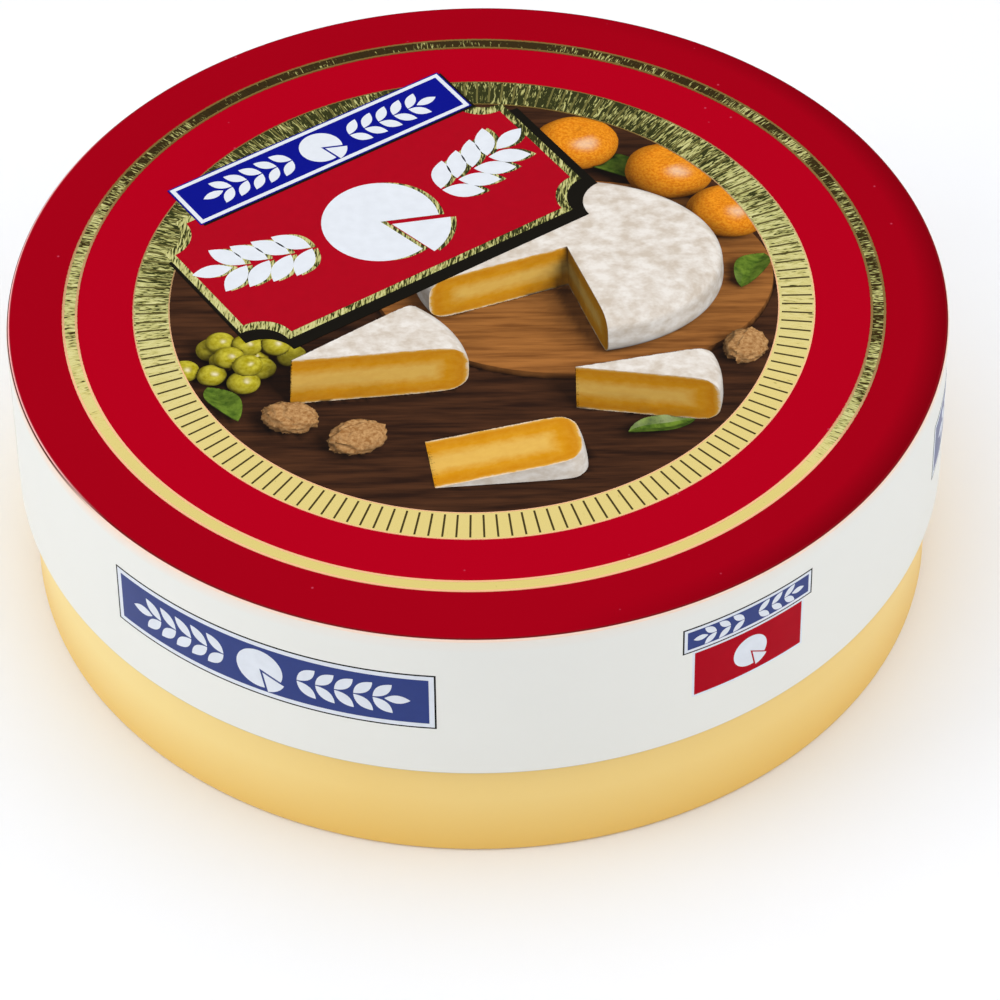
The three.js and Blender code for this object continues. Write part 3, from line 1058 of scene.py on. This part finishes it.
def groundMesh(values):
    # the table top: a round in print, so an oval on the table, with its thickness along the line of sight
    rings = values["groundRings"]
    profile = [((pictureRadius + values["overlap"]) * index / rings, 0) for index in range(rings + 1)]
    mesh = turnedMesh(profile, values["groundSteps"])
    bmesh.ops.scale(mesh, vec=(1, 1 / math.sin(tilt), 1), verts=mesh.verts)
    extrudeBy(mesh, -pictureView * values["groundDepth"])
    return mesh


def boardMesh(values):
    # a round board, cut into rings so that shadows can fall on it
    radius, rings = values["radius"], values["rings"]
    profile = [(0, 0), (radius, 0)]
    profile += [(radius * index / rings, values["thick"]) for index in range(rings, -1, -1)]
    return setDown(turnedMesh(profile, values["steps"]), *values["place"])


def wheelOnBoard(values, rise):
    start, end = values["cut"]
    mesh = cheeseSector(*values["size"], end, 360 - (end - start))
    return setDown(mesh, *values["place"], rise)


# how much light reaches each corner of the still life

def spreadDirections(count):
    # even directions over a ball, by the golden angle
    directions = []
    for index in range(count):
        z = 1 - 2 * (index + 0.5) / count
        turn = index * goldenAngle
        flat = math.sqrt(1 - z * z)
        directions.append(Vector((flat * math.cos(turn), flat * math.sin(turn), z)))
    return directions


def sunDirections(values):
    # the sun's middle, and rays that stray a little from it
    random.seed(values["seed"])
    aim = Vector(values["sun"]).normalized()
    rays = []
    for index in range(values["sunRays"]):
        stray = Vector([random.gauss(0, values["sunSpread"]) for axis in range(3)])
        rays.append((aim + stray).normalized())
    return aim, rays


def lightStillLife(meshes, values):
    # writes "light" and "gloss" on every face corner: soft sun with shadows, and open sky
    points, polygons = [], []
    for mesh in meshes:
        offset = len(points)
        mesh.verts.index_update()
        points += [vert.co.copy() for vert in mesh.verts]
        polygons += [[offset + vert.index for vert in face.verts] for face in mesh.faces]
    tree = BVHTree.FromPolygons(points, polygons)
    aim, sunRays = sunDirections(values)
    skyRays = spreadDirections(values["skyRays"])
    half = (aim + pictureView).normalized()

    def isClear(start, ray, reach):
        return tree.ray_cast(start, ray, reach)[0] is None

    def lightAt(place, normal):
        start = place + normal * values["rayStart"]
        facing = max(0, normal.dot(aim))
        clear = 0
        if facing > 0:
            clear = sum(isClear(start, ray, values["sunReach"]) for ray in sunRays) / len(sunRays)
        total = opened = 0
        for ray in skyRays:
            weight = normal.dot(ray)
            if weight > 0:
                total += weight
                if ray.z > values["horizon"] and isClear(start, ray, values["skyReach"]):
                    opened += weight
        light = values["ambient"] * opened / total + values["sunlight"] * facing * clear
        shine = values["shadeGloss"] + (1 - values["shadeGloss"]) * clear
        return light, max(0, normal.dot(half)) * shine

    for mesh in meshes:
        lightLayer = mesh.loops.layers.float.new("light")
        glossLayer = mesh.loops.layers.float.new("gloss")
        shapeLayer = mesh.verts.layers.float_vector.new("shape")
        mesh.normal_update()
        for vert in mesh.verts:
            vert[shapeLayer] = vert.co
        known = {}
        for face in mesh.faces:
            if face.normal.dot(pictureView) < -0.05:
                continue
            for loop in face.loops:
                smooth = face.normal.dot(loop.vert.normal) > 0.8
                normal = loop.vert.normal if smooth else face.normal
                key = (loop.vert.index, smooth or face.normal.to_tuple(1))
                if key not in known:
                    known[key] = lightAt(loop.vert.co, normal)
                loop[lightLayer], loop[glossLayer] = known[key]


def pressMatrix(values, lift):
    # lays what the picture's viewer sees flat on the face, with a trace of its depth left
    sine, cosine, relief = math.sin(tilt), math.cos(tilt), values["relief"]
    level = faceHeight + levels["picture"] + lift
    return Matrix(((1, 0, 0, printMiddle.x), (0, sine, cosine, printMiddle.y),
                   (0, -relief * cosine, relief * sine, level), (0, 0, 0, 1)))


halftoneValues = {
    "shadow": "#20110a", "shine": "#fff4dc", "shinePower": 60.0, "mottleFrom": 0.35, "mottleTo": 0.65,
    "coreReach": 5.0, "coreUneven": {1: 1.1, 2: -0.55}, "coreMottle": 0.25,
}
# the paste of a cut face, by millimetres in from the rind
pasteCore = [(0, "#f3ead6"), (0.35, "#d9a23a"), (0.8, "#cc8204"), (2.6, "#d8940e"), (4.4, "#e8be62")]


def picturedMaterial(name, first, second, size, stretch=(1, 1, 1), gloss=0.0, detail=3.0, core=None):
    # photographic ink: the thing's own mottled colour, lit as the still life is, warm in its shadows
    values = halftoneValues
    material, tree, shader = newMaterial(name, 0.35, 0.04)
    shape = addNode(tree, "Attribute", {"attribute_name": "shape"}).outputs["Vector"]
    stretched = addNode(tree, "Mapping", {"Scale": stretch}, {"Vector": shape})
    mottle = addNode(tree, "TexNoise", {"Scale": 1 / size, "Detail": detail, "Roughness": 0.6},
                     {"Vector": stretched})
    spread = addNode(tree, "MapRange", {"From Min": values["mottleFrom"], "From Max": values["mottleTo"]},
                     {"Value": mottle})
    colour = mixColours(tree, spread, first, second)
    if core:
        depth = addNode(tree, "Attribute", {"attribute_name": "core"}).outputs["Fac"]
        uneven = addNode(tree, "Math", {"operation": "MULTIPLY_ADD", **values["coreUneven"]}, {0: mottle})
        reach = addNode(tree, "Math", {"operation": "ADD"}, {0: depth, 1: uneven})
        share = addNode(tree, "MapRange", {"From Max": values["coreReach"]}, {"Value": reach})
        ramp = colourRamp(tree, share, [(place / values["coreReach"], shade) for place, shade in core])
        colour = mixColours(tree, values["coreMottle"], ramp, colour)
    light = addNode(tree, "Attribute", {"attribute_name": "light"}).outputs["Fac"]
    tone = mixColours(tree, light, values["shadow"], "#ffffff")
    lit = mixColours(tree, 1.0, colour, tone, "MULTIPLY")
    if gloss:
        facing = addNode(tree, "Attribute", {"attribute_name": "gloss"}).outputs["Fac"]
        tight = addNode(tree, "Math", {"operation": "POWER", 1: values["shinePower"]}, {0: facing})
        share = addNode(tree, "Math", {"operation": "MULTIPLY", 1: gloss}, {0: tight})
        lit = mixColours(tree, share, lit, values["shine"])
    tree.links.new(lit, shader.inputs["Base Color"])
    return material


tableInk = picturedMaterial("picture ink, dark table", "#2a160c", "#4e2e1a", 1.6, (0.12, 1.0, 1.0))
woodInk = picturedMaterial("picture ink, oiled wood", "#7b4a20", "#a86c34", 1.1, (0.1, 1.0, 0.6))
rindInk = picturedMaterial("picture ink, white rind", "#ece6df", "#cfc2b3", 2.2)
pasteInk = picturedMaterial("picture ink, ripe paste", "#dd920a", "#ecb03a", 1.3, gloss=0.25, core=pasteCore)
grapeInk = picturedMaterial("picture ink, green grape", "#a2940c", "#c9bd3c", 0.9, gloss=0.7)
fruitInk = picturedMaterial("picture ink, orange peel", "#d9790a", "#f09a20", 0.35, gloss=0.45, detail=1.0)
nutInk = picturedMaterial("picture ink, nut shell", "#9a6a3a", "#c79a66", 0.5)
leafInk = picturedMaterial("picture ink, green leaf", "#3f5a16", "#6f8a2c", 1.5, gloss=0.3)


def makePicture(values):
    board = stillLife["board"]
    cheeseInks = [rindInk, pasteInk]
    things = [
        ("picturedTable", groundMesh(values), [tableInk], 0),
        ("picturedBoard", boardMesh(board), [woodInk], 0.002),
        ("picturedWheel", wheelOnBoard(stillLife["wheel"], board["thick"]), cheeseInks, 0.003),
        ("picturedWedges", gathered(cheeseSector, stillLife["wedges"]), cheeseInks, 0.004),
        ("picturedGrapes", gathered(grapeBunch, stillLife["grapes"]), [grapeInk], 0.003),
        ("picturedFruit", gathered(roundFruit, stillLife["fruit"]), [fruitInk], 0.003),
        ("picturedNuts", gathered(walnut, stillLife["nuts"]), [nutInk], 0.004),
        ("picturedLeaves", gathered(leaf, stillLife["leaves"]), [leafInk], 0.003),
    ]
    lightStillLife([mesh for name, mesh, materials, lift in things], values)
    for name, mesh, materials, lift in things:
        mesh.transform(pressMatrix(values, lift))
        replaced = ["picture_disc"] if name == "picturedTable" else []
        finishPiece(name, mesh, materials, "picture_print", *replaced, smoothBelow=0)


makePicture(pictureValues)
print("picture is made")
